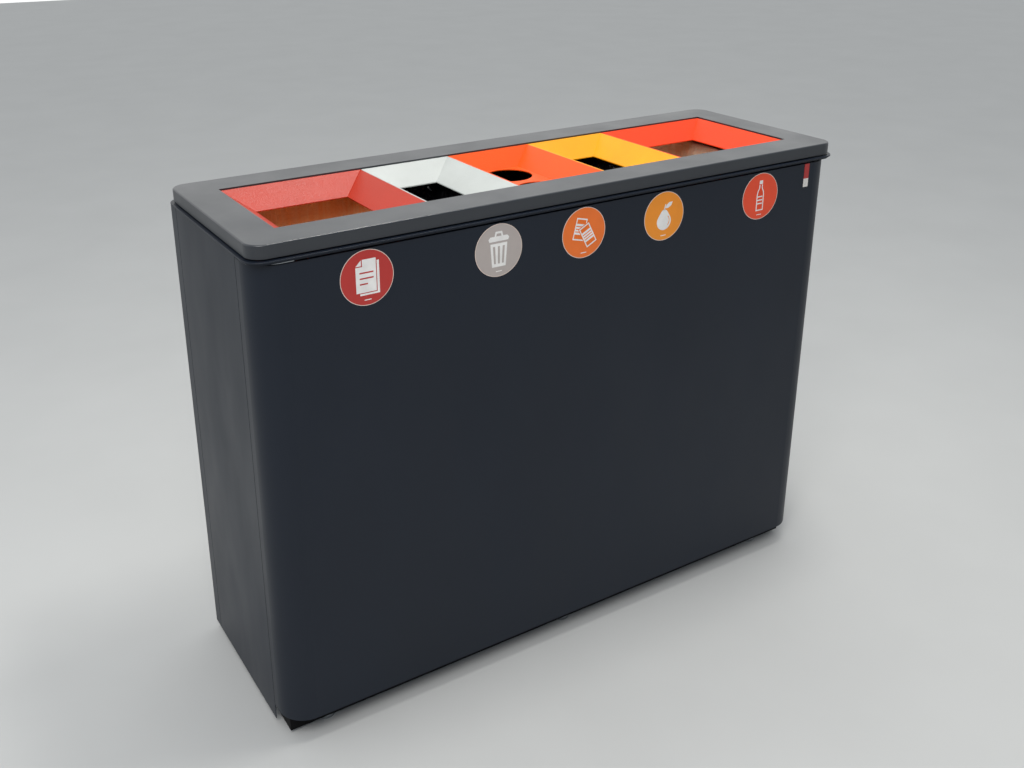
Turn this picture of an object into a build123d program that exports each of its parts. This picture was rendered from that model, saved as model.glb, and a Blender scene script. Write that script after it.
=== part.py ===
from build123d import *
import os

# Five-stream recycling bin station.  Millimetres.  +X runs along the length, to the right seen from
# the front; the front faces -Y; +Z is up.  The origin is on the floor at the middle of the footprint.

# ---- driving sizes -------------------------------------------------------------------------------
length = 1320.0            # casing and lid, left to right
depth = 430.0              # casing and lid, front to back
height = 1000.0            # floor to the lid's top face

sheet = 1.5                # casing sheet
plate = 3.0                # collar, pivot plate and packers
lid_sheet = 2.0
chute_sheet = 1.5
chute_fall_sheet = 2.0     # measured straight down through a sloped wall

casing_radius = 56.0       # front corners of the door
back_radius = 2.4          # back corners of the casing
lid_radius = 30.0
lid_edge_radius = 3.0

lid_height = 24.0
lid_gap = 3.0              # shadow gap between lid and collar
lip_out = 6.5              # the collar's lip beyond the casing
step_out = 2.0             # the collar's step beyond the casing
step_height = 3.5
step_width = 14.0
collar_bar_x = 54.5        # the collar's width at the ends, from its outer edge
collar_bar_y = 50.0

border_x = 71.5            # lid's rim left and right of its opening
border_y = 75.5            # lid's rim front and back
lip_depth = 20.0           # turned-down edge round the opening
inner_modules = 3
outer_module = 290.5       # length of the two end chutes in the opening

chute_gap = 0.5            # a chute to the opening's edge
chute_between = 0.4        # chute to chute
chute_below = 3.0          # chute rims below the lid's face
chute_drop = 37.0          # rim to the hole's edge
chute_rim = 2.0
chute_rim_radius = 1.5
chute_skirt = 17.0
hole_inset_x = 52.0
hole_inset_y = 45.0
cup_floor_inset_x = 44.0
cup_floor_inset_y = 30.0
cup_hole = 96.0
cup_hole_offset = 57.0
rivet_shank = 3.2
rivet_head = 6.4
rivet_head_height = 1.2
rivet_level = 5.0          # above the skirt's lower edge

door_bottom = 50.0
door_top_gap = 1.0         # door to pivot plate
door_reach = 75.5          # how far the door's ends wrap round each side
door_flange = 30.0
seam_gap = 1.5
back_wrap = 32.0           # back sheet round each side
panel_bottom = 16.0
pivot_inset = 28.0         # hinge line from the casing's left face and front face
pivot_pin = 8.0
pivot_fit = 0.05           # radial
bush_wall = 2.0
bush_length = 8.0
bush_rim = 2.5
bush_rim_height = 0.7
washer_clear = 0.1
pivot_plate_length = 74.0
pivot_plate_front = 2.0    # plate behind the casing's front face
hat_width = 60.0
hat_depth = 15.0
hat_foot = 15.0
hat_sheet = 1.2
hat_spacing = 330.0
hat_end_gap = 8.0

post = 25.0
post_wall = 2.0
post_clear = 0.3           # posts and panels
front_post_face = -122.0   # front faces of the two front posts
rail = 20.0
rail_wall = 1.5
rail_top = 932.0
rail_front_face = -118.0   # front rail
hoop_rod = 8.0
hoop_corner = 25.0
hoop_front = -100.0        # rod centre
hoop_back = 190.0
hoop_spacing = 18.5        # between neighbouring hoops
seat_clear = 0.3
rail_peg = 6.0
rail_peg_height = 10.0

bag_wall = 1.0
bag_hang = 6.5             # bag walls inside the hoop's rod
bag_bottom = 150.0
bag_rim_thickness = 1.0

tray_top = 48.0
tray_sheet = 2.0
tray_flange = 15.0
tray_inset = 7.0           # tray inside the casing's front face
tray_hole = 10.6
plinth_sheet = 2.0
plinth_front = -178.0
plinth_back = 200.0
plinth_end_inset = 14.0
plinth_bottom = 10.0
foot_pad = 40.0
foot_pad_height = 8.0
foot_stem = 10.0
foot_stem_top = 56.0
foot_nut = 17.0
foot_nut_height = 8.0
foot_x = 565.0
foot_front = -155.0
foot_back = 165.0

lid_hinge_length = 90.0
lid_hinge_x = 500.0
knuckle_radius = 3.0
knuckle_clear = 0.4        # lid's back face to the fixed knuckles
knuckle_gap = 0.3
hinge_pin = 3.0
hinge_fit = 0.05
leaf = 1.2
leaf_height = 18.0
leaf_depth = 18.0
buffer_diameter = 14.0
buffer_x = 600.0
buffer_y = 192.0

sticker = 100.0
sticker_thickness = 0.4
sticker_level = 911.0
sticker_places = {"paper": -460.0, "residual": -198.0, "cups": -8.0, "organic": 188.0, "plastic": 449.0}
tag_width = 14.0
tag_height = 51.0
tag_place = 582.0
tag_top = 962.5

catch_levels = (260.0, 760.0)
catch_width = 24.0
catch_height = 60.0
catch_gap = 0.3
strike_sheet = 2.0
strike_leg = 28.0
strike_side_leg = 17.0
screw_head = 9.5
screw_head_height = 2.6
screw_shank = 5.0
screw_length = 12.0

# ---- levels and places that follow ---------------------------------------------------------------
half_x = length / 2
half_y = depth / 2
lid_bottom = height - lid_height
collar_top = lid_bottom - lid_gap
step_bottom = collar_top - plate - step_height
plate_bottom = step_bottom - plate
door_top = plate_bottom - door_top_gap
panel_top = step_bottom
open_x = length - 2 * border_x
open_y = depth - 2 * border_y
inner_module = (open_x - 2 * outer_module) / inner_modules
streams = ("paper", "residual", "cups", "organic", "plastic")
module_lengths = (outer_module,) + (inner_module,) * inner_modules + (outer_module,)
module_places = []
for index, module in enumerate(module_lengths):
    module_places.append(-open_x / 2 + sum(module_lengths[:index]) + module / 2)
pivot_x = -half_x + pivot_inset
pivot_y = -half_y + pivot_inset
side_front = -half_y + door_reach + seam_gap
post_x = half_x - sheet - post_clear - post / 2
rear_post_y = half_y - sheet - post_clear - post / 2
front_post_y = front_post_face + post / 2
axis_y = half_y + knuckle_clear + knuckle_radius
axis_z = collar_top + knuckle_radius + 0.5
hoop_level = rail_top + seat_clear + hoop_rod / 2


def slab(x0, x1, y0, y1, z0, z1):
    """A box between two corners."""
    return Pos((x0 + x1) / 2, (y0 + y1) / 2, (z0 + z1) / 2) * Box(x1 - x0, y1 - y0, z1 - z0)


def rod_between(x, y, z0, z1, diameter):
    """An upright cylinder from z0 to z1."""
    return Pos(x, y, (z0 + z1) / 2) * Cylinder(diameter / 2, z1 - z0)


def rounded_block(size_x, size_y, radius, z0, z1):
    """A block with rounded upright corners, centred on the origin in plan."""
    return Pos(0, 0, z0) * extrude(RectangleRounded(size_x, size_y, radius), z1 - z0)


def casing_block(inset, z0, z1):
    """The casing's outline with all corners at the front radius, inset by a distance."""
    return rounded_block(length - 2 * inset, depth - 2 * inset, casing_radius - inset, z0, z1)


def write(node, *solids):
    """One STEP file for a node; several solids stay separate."""
    shape = solids[0] if len(solids) == 1 else Compound(children=list(solids))
    export_step(shape, f"parts/{node}.step")


# ---- casing --------------------------------------------------------------------------------------
def back_panel():
    """Back sheet whose ends wrap a short way round the sides."""
    outer = rounded_block(length, depth, back_radius, panel_bottom, panel_top)
    inner = rounded_block(length - 2 * sheet, depth - 2 * sheet, back_radius - sheet, panel_bottom, panel_top)
    return (outer - inner) & slab(-half_x, half_x, half_y - back_wrap, half_y, panel_bottom, panel_top)


def side_panel(side):
    """Flat side sheet between the door's edge and the back sheet's wrap."""
    outer = side * half_x
    inner = side * (half_x - sheet)
    back = half_y - back_wrap - seam_gap
    return slab(min(outer, inner), max(outer, inner), side_front, back, panel_bottom, panel_top)


def corner_post(x, y, top):
    """Square tube that joins tray and collar."""
    tube = slab(x - post / 2, x + post / 2, y - post / 2, y + post / 2, tray_top, top)
    bore = post / 2 - post_wall
    return tube - slab(x - bore, x + bore, y - bore, y + bore, tray_top, top)


def collar():
    """Rim that closes the casing's top: a projecting lip above a smaller step."""
    outer_x, outer_y = length + 2 * lip_out, depth + 2 * lip_out
    lip = rounded_block(outer_x, outer_y, lid_radius + lip_out, collar_top - plate, collar_top)
    lip = fillet(lip.edges().filter_by(Axis.Z, reverse=True), plate / 3)
    lip -= rounded_block(outer_x - 2 * collar_bar_x, outer_y - 2 * collar_bar_y, lid_radius / 2,
                         collar_top - plate, collar_top)
    step_x, step_y = length + 2 * step_out, depth + 2 * step_out
    step = rounded_block(step_x, step_y, lid_radius + step_out, step_bottom, collar_top - plate)
    step -= rounded_block(step_x - 2 * step_width, step_y - 2 * step_width, lid_radius - step_width / 2,
                          step_bottom, collar_top - plate)
    ring = lip + step
    for x, y in collar_screw_places():
        ring -= rod_between(x, y, step_bottom, collar_top, screw_shank + 0.5)
    return ring


def collar_screw_places():
    """Screws that hold the collar down: one over each post."""
    back = rear_post_y - 6
    return [(-post_x, back), (post_x, back), (-post_x, front_post_y), (post_x, front_post_y)]


def collar_screw(x, y):
    """Button-head screw through collar and packer into a post."""
    head = Pos(x, y, collar_top) * Cylinder(screw_head / 2, screw_head_height, align=(Align.CENTER,) * 2 + (Align.MIN,))
    head = chamfer(head.edges().group_by(Axis.Z)[-1], screw_head_height / 2)
    return head + rod_between(x, y, collar_top - screw_length, collar_top, screw_shank)


def packer(x, y):
    """Flat packer between a post and the collar."""
    block = slab(x - post / 2, x + post / 2, y - post / 2, y + post / 2, plate_bottom, step_bottom)
    screw_y = y if y < 0 else y - 6
    return block - rod_between(x, screw_y, plate_bottom, step_bottom, screw_shank + 0.5)


# ---- base ----------------------------------------------------------------------------------------
def foot_places():
    """Six feet, under the ends and the middle."""
    return [(x, y) for x in (-foot_x, 0, foot_x) for y in (foot_front, foot_back)]


def base_tray():
    """Floor sheet with turned-up ends and back."""
    end = half_x - sheet - post_clear
    back = half_y - sheet - post_clear
    low = tray_top - tray_sheet
    tray = slab(-end, end, side_front, back, low, tray_top)
    tray += casing_block(tray_inset, low, tray_top) & slab(-half_x, half_x, -half_y, side_front + 1, low, tray_top)
    tray += slab(-end + post + 1, end - post - 1, back - tray_sheet, back, tray_top, tray_top + tray_flange)
    for x, y in foot_places():
        tray -= rod_between(x, y, tray_top - tray_sheet, tray_top, tray_hole)
    return tray - rod_between(pivot_x, pivot_y, tray_top - tray_sheet, tray_top, pivot_pin + 2 * pivot_fit)


def plinth():
    """Dark set-back ring under the tray."""
    end = half_x - plinth_end_inset
    top = tray_top - tray_sheet
    ring = slab(-end, end, plinth_front, plinth_back, plinth_bottom, top)
    return ring - slab(-end + plinth_sheet, end - plinth_sheet, plinth_front + plinth_sheet,
                       plinth_back - plinth_sheet, plinth_bottom, top)


def levelling_foot(x, y):
    """Round pad on a threaded stem."""
    pad = rod_between(x, y, 0, foot_pad_height, foot_pad)
    pad = fillet(pad.edges().group_by(Axis.Z)[-1], foot_pad_height / 3)
    return pad + rod_between(x, y, foot_pad_height, foot_stem_top, foot_stem)


def foot_nut_at(x, y):
    """Hexagon weld nut under the tray."""
    top = tray_top - tray_sheet
    hexagon = extrude(RegularPolygon(foot_nut / 2, 6, major_radius=False), foot_nut_height)
    nut = Pos(x, y, top - foot_nut_height) * hexagon
    return nut - rod_between(x, y, top - foot_nut_height, top, foot_stem + 0.3)


# ---- door ----------------------------------------------------------------------------------------
def door_skin():
    """Front sheet that wraps both front corners, with flanges along its top and bottom."""
    wall = casing_block(0, door_bottom, door_top) - casing_block(sheet, door_bottom, door_top)
    flange = casing_block(0, door_bottom, door_bottom + sheet) + casing_block(0, door_top - sheet, door_top)
    flange -= casing_block(door_flange, door_bottom, door_top)
    front = slab(-half_x, half_x, -half_y, -half_y + door_reach, door_bottom, door_top)
    skin = (wall + flange) & front
    return skin - rod_between(pivot_x, pivot_y, door_bottom, door_top, pivot_pin + 2 * bush_wall)


def door_hat(x):
    """Upright hat-section stiffener on the inside of the door."""
    back = -half_y + sheet
    low = door_bottom + hat_end_gap
    high = door_top - hat_end_gap
    crown = slab(x - hat_width / 2, x + hat_width / 2, back, back + hat_depth, low, high)
    crown -= slab(x - hat_width / 2 + hat_sheet, x + hat_width / 2 - hat_sheet, back, back + hat_depth - hat_sheet,
                  low, high)
    feet = slab(x - hat_width / 2 - hat_foot, x - hat_width / 2 + hat_sheet, back, back + hat_sheet, low, high)
    feet += slab(x + hat_width / 2 - hat_sheet, x + hat_width / 2 + hat_foot, back, back + hat_sheet, low, high)
    return crown + feet


def pivot_bush(level, outward):
    """Nylon bush pressed in a door flange, its rim outside the door."""
    outer = pivot_pin + 2 * bush_wall
    inner_end = level - outward * bush_length
    body = rod_between(pivot_x, pivot_y, min(level, inner_end), max(level, inner_end), outer)
    rim_end = level + outward * bush_rim_height
    rim = rod_between(pivot_x, pivot_y, min(level, rim_end), max(level, rim_end), outer + 2 * bush_rim)
    bore = pivot_pin + 2 * pivot_fit
    return body + rim - rod_between(pivot_x, pivot_y, door_bottom - plate, door_top + plate, bore)


def pivot_plate():
    """Strip under the collar that carries the door's top pivot; its front edge shows at the corner."""
    left = -half_x + sheet + post_clear
    strip = slab(left, -half_x + pivot_plate_length, -half_y + pivot_plate_front, -half_y + 2 * pivot_inset,
                 plate_bottom, step_bottom)
    corner = casing_block(pivot_plate_front, plate_bottom, step_bottom)
    leg = slab(left, left + post, -half_y + pivot_inset, front_post_y + post / 2, plate_bottom, step_bottom)
    shape = (strip & corner) + leg
    shape -= rod_between(-post_x, front_post_y, plate_bottom, step_bottom, screw_shank + 0.5)
    return shape - rod_between(pivot_x, pivot_y, plate_bottom, step_bottom, pivot_pin + 2 * pivot_fit)


def pivot_pins():
    """Top pin hung in the pivot plate and bottom pin standing in the tray, each with a head."""
    head = pivot_pin + 4
    top = rod_between(pivot_x, pivot_y, door_top - bush_length - 2, step_bottom, pivot_pin)
    top += rod_between(pivot_x, pivot_y, step_bottom, step_bottom + 1.5, head)
    bottom = rod_between(pivot_x, pivot_y, tray_top - tray_sheet, door_bottom + bush_length + 2, pivot_pin)
    bottom += rod_between(pivot_x, pivot_y, tray_top - tray_sheet - 1.5, tray_top - tray_sheet, head)
    return top, bottom


def thrust_washer():
    """Nylon washer that carries the door's weight on the tray."""
    top = door_bottom - bush_rim_height - washer_clear
    ring = rod_between(pivot_x, pivot_y, tray_top, top, pivot_pin + 2 * bush_wall + 2 * bush_rim)
    return ring - rod_between(pivot_x, pivot_y, tray_top, top, pivot_pin + 2 * pivot_fit)


def magnet_catch(level):
    """Magnet block on the right front post."""
    strike_back = -half_y + door_reach - 0.5
    return slab(post_x - catch_width / 2, post_x + catch_width / 2, strike_back + catch_gap, front_post_face,
                level - catch_height / 2, level + catch_height / 2)


def strike(level):
    """Angle on the door's right wrap that meets the magnet."""
    back = -half_y + door_reach - 0.5
    outer = half_x - sheet
    low, high = level - catch_height / 2, level + catch_height / 2
    return (slab(outer - strike_sheet, outer, back - strike_side_leg, back, low, high)
            + slab(outer - strike_leg, outer, back - strike_sheet, back, low, high))


def round_sticker(x):
    """Thin printed disc on the door's face."""
    return Pos(x, -half_y - sticker_thickness / 2, sticker_level) * Rot(90, 0, 0) * Cylinder(
        sticker / 2, sticker_thickness)


def door_tag():
    """Plain two-tone strip under the lip at the right."""
    return slab(tag_place - tag_width / 2, tag_place + tag_width / 2, -half_y - sticker_thickness, -half_y,
                tag_top - tag_height, tag_top)


# ---- lid -----------------------------------------------------------------------------------------
def rivet_places(module):
    """Two rivets in each long edge of a chute."""
    return (-module / 4, module / 4)


def rivet_z():
    """Level of the chute rivets."""
    return height - chute_below - chute_skirt + rivet_level


def lid_frame():
    """Tray-shaped frame: top face, outer skirt and a turned-down edge round the opening."""
    outer = rounded_block(length, depth, lid_radius, lid_bottom, height)
    outer = fillet(outer.edges().group_by(Axis.Z)[-1], lid_edge_radius)
    shell = outer - rounded_block(length - 2 * lid_sheet, depth - 2 * lid_sheet, lid_radius - lid_sheet,
                                  lid_bottom, height - lid_sheet)
    lip_x, lip_y = open_x + 2 * lid_sheet, open_y + 2 * lid_sheet
    shell += slab(-lip_x / 2, lip_x / 2, -lip_y / 2, lip_y / 2, height - lip_depth, height - lid_sheet)
    shell -= slab(-open_x / 2, open_x / 2, -open_y / 2, open_y / 2, lid_bottom, height)
    for place, module in zip(module_places, module_lengths):
        for shift in rivet_places(module):
            hole = Pos(place + shift, 0, rivet_z()) * Rot(90, 0, 0) * Cylinder(rivet_shank / 2, lip_y + 2)
            shell -= hole
    return shell


def chute_funnel(size_x, size_y, inset_x, inset_y, lower):
    """Tapered block from the rim down to the hole, moved down and widened by the wall."""
    rim_z = height - chute_below
    grow_x = lower * inset_x / chute_drop
    grow_y = lower * inset_y / chute_drop
    top = Pos(0, 0, rim_z) * Rectangle(size_x - 2 * chute_rim + 2 * grow_x, size_y - 2 * chute_rim + 2 * grow_y)
    base = Pos(0, 0, rim_z - chute_drop - lower) * Rectangle(
        size_x - 2 * chute_rim - 2 * inset_x, size_y - 2 * chute_rim - 2 * inset_y)
    return loft([top.face(), base.face()])


def chute(place, module, stream):
    """Shallow tray with sloped walls round its hole and an upright skirt outside."""
    gap_left = chute_gap if place - module / 2 < -open_x / 2 + 1 else chute_between / 2
    gap_right = chute_gap if place + module / 2 > open_x / 2 - 1 else chute_between / 2
    size_x = module - gap_left - gap_right
    size_y = open_y - 2 * chute_gap
    rim_z = height - chute_below
    inset_x, inset_y = hole_inset_x - chute_rim, hole_inset_y - chute_rim
    if stream == "cups":
        inset_x, inset_y = cup_floor_inset_x - chute_rim, cup_floor_inset_y - chute_rim
    block = Pos(0, 0, rim_z - chute_skirt) * extrude(Rectangle(size_x, size_y), chute_skirt)
    block = fillet(block.edges().group_by(Axis.Z)[-1], chute_rim_radius)
    block -= slab(-size_x / 2 + chute_sheet, size_x / 2 - chute_sheet, -size_y / 2 + chute_sheet,
                  size_y / 2 - chute_sheet, rim_z - chute_skirt, rim_z - chute_rim_radius)
    inside = slab(-size_x / 2 + chute_sheet / 2, size_x / 2 - chute_sheet / 2, -size_y / 2 + chute_sheet / 2,
                  size_y / 2 - chute_sheet / 2, rim_z - 2 * chute_drop, rim_z - chute_rim_radius)
    tray = block + (chute_funnel(size_x, size_y, inset_x, inset_y, chute_fall_sheet) & inside)
    tray -= chute_funnel(size_x, size_y, inset_x, inset_y, 0)
    deep = rim_z - chute_drop - chute_fall_sheet
    if stream == "cups":
        for shift in (-cup_hole_offset, cup_hole_offset):
            tray -= rod_between(0, shift, deep, rim_z, cup_hole)
    else:
        hole_x, hole_y = size_x - 2 * hole_inset_x, size_y - 2 * hole_inset_y
        tray -= slab(-hole_x / 2, hole_x / 2, -hole_y / 2, hole_y / 2, deep, rim_z)
    middle = place + (gap_left - gap_right) / 2
    for shift in rivet_places(module):
        for side in (-1, 1):
            hole = Pos(place + shift - middle, side * size_y / 2, rivet_z()) * Rot(90, 0, 0)
            tray -= hole * Cylinder(rivet_shank / 2, 4 * chute_sheet)
    return Pos(middle, 0, 0) * tray


def chute_rivets():
    """Blind rivets that hold the chutes to the lid's turned-down edge."""
    rivets = []
    inner = open_y / 2 - chute_gap - chute_sheet
    outer = open_y / 2 + lid_sheet
    for place, module in zip(module_places, module_lengths):
        for shift in rivet_places(module):
            for side in (-1, 1):
                parts = Cylinder(rivet_shank / 2, outer - inner)
                parts += Pos(0, 0, (outer - inner + rivet_head_height) / 2) * Cylinder(
                    rivet_head / 2, rivet_head_height)
                parts += Pos(0, 0, -(outer - inner + rivet_head_height) / 2) * Cylinder(
                    rivet_head / 2.4, rivet_head_height)
                turned = Rot(-90 * side, 0, 0) * parts
                rivets.append(Pos(place + shift, side * (inner + outer) / 2, rivet_z()) * turned)
    return rivets


def knuckle(x0, x1):
    """Hinge barrel between two places along the axis, with its pin bore."""
    barrel = Pos((x0 + x1) / 2, axis_y, axis_z) * Rot(0, 90, 0) * Cylinder(knuckle_radius, x1 - x0)
    return barrel


def hinge_bore(x):
    """Pin bore through one whole hinge."""
    return Pos(x, axis_y, axis_z) * Rot(0, 90, 0) * Cylinder(hinge_pin / 2 + hinge_fit, lid_hinge_length + 2)


def lid_leaf(x):
    """Moving hinge leaf, up the lid's back face, with the middle barrel."""
    third = lid_hinge_length / 6
    low = axis_z + knuckle_radius + knuckle_gap
    shape = slab(x - lid_hinge_length / 2, x + lid_hinge_length / 2, half_y, half_y + leaf, low, low + leaf_height - 6)
    middle = third - knuckle_gap
    shape += slab(x - middle, x + middle, half_y, half_y + leaf, axis_z, low)
    shape += slab(x - middle, x + middle, half_y, axis_y, axis_z, axis_z + leaf)
    shape += knuckle(x - middle, x + middle)
    return shape - hinge_bore(x)


def collar_leaf(x):
    """Fixed hinge leaf, flat on the collar under the lid's skirt, with the two outer barrels."""
    third = lid_hinge_length / 6
    edge = half_y - knuckle_clear
    shape = slab(x - lid_hinge_length / 2, x + lid_hinge_length / 2, axis_y - leaf_depth - 3, edge,
                 collar_top, collar_top + leaf)
    for side in (-1, 1):
        near, far = x + side * third, x + side * lid_hinge_length / 2
        start, end = min(near, far), max(near, far)
        shape += slab(start, end, edge, axis_y, collar_top, collar_top + leaf)
        shape += knuckle(start, end)
    return shape - hinge_bore(x)


def hinge_pin_at(x):
    """Hinge pin, as long as the hinge."""
    return Pos(x, axis_y, axis_z) * Rot(0, 90, 0) * Cylinder(hinge_pin / 2, lid_hinge_length)


def lid_buffer(x, y):
    """Rubber buffer that the closed lid rests on."""
    top = height - lid_sheet - seat_clear
    stub = rod_between(x, y, collar_top, top, buffer_diameter)
    return fillet(stub.edges().group_by(Axis.Z)[-1], buffer_diameter / 6)


# ---- bag carriers --------------------------------------------------------------------------------
def hoop_size(module):
    """Length of a hoop between its outer faces."""
    return module - hoop_spacing


def bag_hoop(place, module):
    """Rectangular wire hoop that a bag's mouth is folded over."""
    half_a = (hoop_size(module) - hoop_rod) / 2 - hoop_corner
    half_b = (hoop_back - hoop_front) / 2 - hoop_corner
    rod = hoop_rod / 2
    shape = None
    for side in (-1, 1):
        long_side = Pos(0, side * (half_b + hoop_corner), 0) * Rot(0, 90, 0) * Cylinder(rod, 2 * half_a)
        short_side = Pos(side * (half_a + hoop_corner), 0, 0) * Rot(90, 0, 0) * Cylinder(rod, 2 * half_b)
        shape = long_side + short_side if shape is None else shape + long_side + short_side
    section = Plane.XZ * Pos(hoop_corner, 0) * Circle(rod)
    bend = revolve(section, Axis.Z, 90)
    for turn, x, y in ((0, half_a, half_b), (90, -half_a, half_b), (180, -half_a, -half_b), (270, half_a, -half_b)):
        shape += Pos(x, y, 0) * Rot(0, 0, turn) * bend
    return Pos(place, (hoop_front + hoop_back) / 2, hoop_level) * shape


def bag(place, module):
    """Open-topped liner bag hanging inside its hoop, its rim folded out over the rod."""
    half_x = hoop_size(module) / 2 - hoop_rod - bag_hang
    half_y = (hoop_back - hoop_front - hoop_rod) / 2 - bag_hang
    rim_low = hoop_level + hoop_rod / 2 + seat_clear
    rim_high = rim_low + bag_rim_thickness
    grow = hoop_rod + bag_hang
    body = slab(-half_x, half_x, -half_y, half_y, bag_bottom, rim_high)
    body += rounded_block(2 * half_x + 2 * grow, 2 * half_y + 2 * grow, hoop_corner + hoop_rod / 2,
                          rim_low, rim_high)
    body -= slab(-half_x + bag_wall, half_x - bag_wall, -half_y + bag_wall, half_y - bag_wall,
                 bag_bottom + bag_wall, rim_high)
    return Pos(place, (hoop_front + hoop_back) / 2, 0) * body


def hoop_rail(front_face):
    """Square tube from post to post, with pegs between the hoops."""
    reach = post_x - post / 2
    tube = slab(-reach, reach, front_face, front_face + rail, rail_top - rail, rail_top)
    tube -= slab(-reach, reach, front_face + rail_wall, front_face + rail - rail_wall,
                 rail_top - rail + rail_wall, rail_top - rail_wall)
    middle = front_face + rail / 2
    for place, module in zip(module_places[:-1], module_lengths[:-1]):
        tube += rod_between(place + module / 2, middle, rail_top - rail_wall, rail_top + rail_peg_height, rail_peg)
    return tube


def rear_rail_face():
    """Front face of the rear rail, under the hoops' back rods."""
    return rear_post_y - post / 2


def main():
    """Build every node and write its STEP file."""
    os.makedirs("parts", exist_ok=True)
    write("back_panel", back_panel())
    write("left_side_panel", side_panel(-1))
    write("right_side_panel", side_panel(1))
    post_places = [(-post_x, rear_post_y), (post_x, rear_post_y), (-post_x, front_post_y), (post_x, front_post_y)]
    write("corner_posts", *[corner_post(x, y, plate_bottom) for x, y in post_places])
    write("post_packers", *[packer(x, y) for x, y in post_places if (x, y) != (-post_x, front_post_y)])
    write("top_collar", collar())
    write("collar_screws", *[collar_screw(x, y) for x, y in collar_screw_places()])
    write("base_tray", base_tray())
    write("plinth", plinth())
    write("levelling_feet", *[levelling_foot(x, y) for x, y in foot_places()])
    write("foot_nuts", *[foot_nut_at(x, y) for x, y in foot_places()])

    write("door_skin", door_skin())
    write("door_stiffeners", *[door_hat(x) for x in (-hat_spacing, 0, hat_spacing)])
    write("pivot_bushes", pivot_bush(door_top, 1), pivot_bush(door_bottom, -1))
    write("strike_angles", *[strike(level) for level in catch_levels])
    write("pivot_plate", pivot_plate())
    top_pin, bottom_pin = pivot_pins()
    write("top_pivot_pin", top_pin)
    write("bottom_pivot_pin", bottom_pin)
    write("thrust_washer", thrust_washer())
    write("magnet_catches", *[magnet_catch(level) for level in catch_levels])
    for stream, place in sticker_places.items():
        write(f"sticker_{stream}", round_sticker(place))
    write("door_tag", door_tag())

    write("lid_frame", lid_frame())
    for stream, place, module in zip(streams, module_places, module_lengths):
        write(f"chute_{stream}", chute(place, module, stream))
        write(f"hoop_{stream}", bag_hoop(place, module))
        write(f"bag_{stream}", bag(place, module))
    write("chute_rivets", *chute_rivets())
    hinge_places = (-lid_hinge_x, 0, lid_hinge_x)
    write("lid_hinge_leaves", *[lid_leaf(x) for x in hinge_places])
    write("collar_hinge_leaves", *[collar_leaf(x) for x in hinge_places])
    write("lid_hinge_pins", *[hinge_pin_at(x) for x in hinge_places])
    buffer_places = [(x, y) for x in (-buffer_x, buffer_x) for y in (-buffer_y, buffer_y)]
    write("lid_buffers", *[lid_buffer(x, y) for x, y in buffer_places])
    write("front_rail", hoop_rail(rail_front_face))
    write("rear_rail", hoop_rail(rear_rail_face()))


main()
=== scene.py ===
"""Looks of a recycling bin station: coated cabinet, coloured drop chutes, film liners, printed discs.

Lengths are in metres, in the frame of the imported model: +X runs along the length, the front faces -Y
and +Z is up.  Sizes named *_mm are in millimetres.
"""
import logging
import math
from dataclasses import dataclass, field
from enum import Enum
from typing import Callable

import bmesh
import bpy
from mathutils import Matrix, Vector, noise


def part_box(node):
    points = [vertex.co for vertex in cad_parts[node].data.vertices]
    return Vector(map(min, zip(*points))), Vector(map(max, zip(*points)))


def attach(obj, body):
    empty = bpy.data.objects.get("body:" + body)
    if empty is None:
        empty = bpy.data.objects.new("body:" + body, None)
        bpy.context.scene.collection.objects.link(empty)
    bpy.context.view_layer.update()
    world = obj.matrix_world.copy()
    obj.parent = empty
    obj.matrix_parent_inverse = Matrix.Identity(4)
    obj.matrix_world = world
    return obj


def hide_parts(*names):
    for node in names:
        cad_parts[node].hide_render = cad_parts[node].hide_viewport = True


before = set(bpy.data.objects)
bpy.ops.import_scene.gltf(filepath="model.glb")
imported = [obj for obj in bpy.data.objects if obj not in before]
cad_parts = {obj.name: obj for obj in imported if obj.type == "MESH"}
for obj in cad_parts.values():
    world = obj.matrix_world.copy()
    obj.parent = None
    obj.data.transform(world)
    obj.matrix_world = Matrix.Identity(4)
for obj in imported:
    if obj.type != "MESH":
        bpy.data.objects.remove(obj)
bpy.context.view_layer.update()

MM = 0.001

log = logging.getLogger("station")


class Stream(Enum):
    """The five waste streams, left to right; the value is the end of each node's name."""

    PAPER = "paper"
    RESIDUAL = "residual"
    CUPS = "cups"
    ORGANIC = "organic"
    PLASTIC = "plastic"


class Body(Enum):
    """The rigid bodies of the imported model."""

    CABINET = "cabinet"
    DOOR = "door"
    LID = "lid"


INK_SLOTS = {Stream.PAPER: "print_red", Stream.RESIDUAL: "print_grey", Stream.CUPS: "print_orange",
             Stream.ORGANIC: "print_amber", Stream.PLASTIC: "print_bright_orange"}


# ---- colour and shader helpers -------------------------------------------------------------------
def linear(code: str) -> tuple[float, float, float, float]:
    """Turn an sRGB hex colour into linear light.

    Args:
        code: six hex digits after a hash.

    Returns:
        Linear red, green, blue and an alpha of 1.
    """
    parts = [int(code[place:place + 2], 16) / 255 for place in (1, 3, 5)]
    low = [part / 12.92 if part <= 0.04045 else ((part + 0.055) / 1.055) ** 2.4 for part in parts]
    return (low[0], low[1], low[2], 1.0)


def shade(code: str, factor: float) -> tuple[float, float, float, float]:
    """A hex colour in linear light, made lighter or darker by a factor."""
    red, green, blue, alpha = linear(code)
    return (min(1.0, red * factor), min(1.0, green * factor), min(1.0, blue * factor), alpha)


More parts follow.
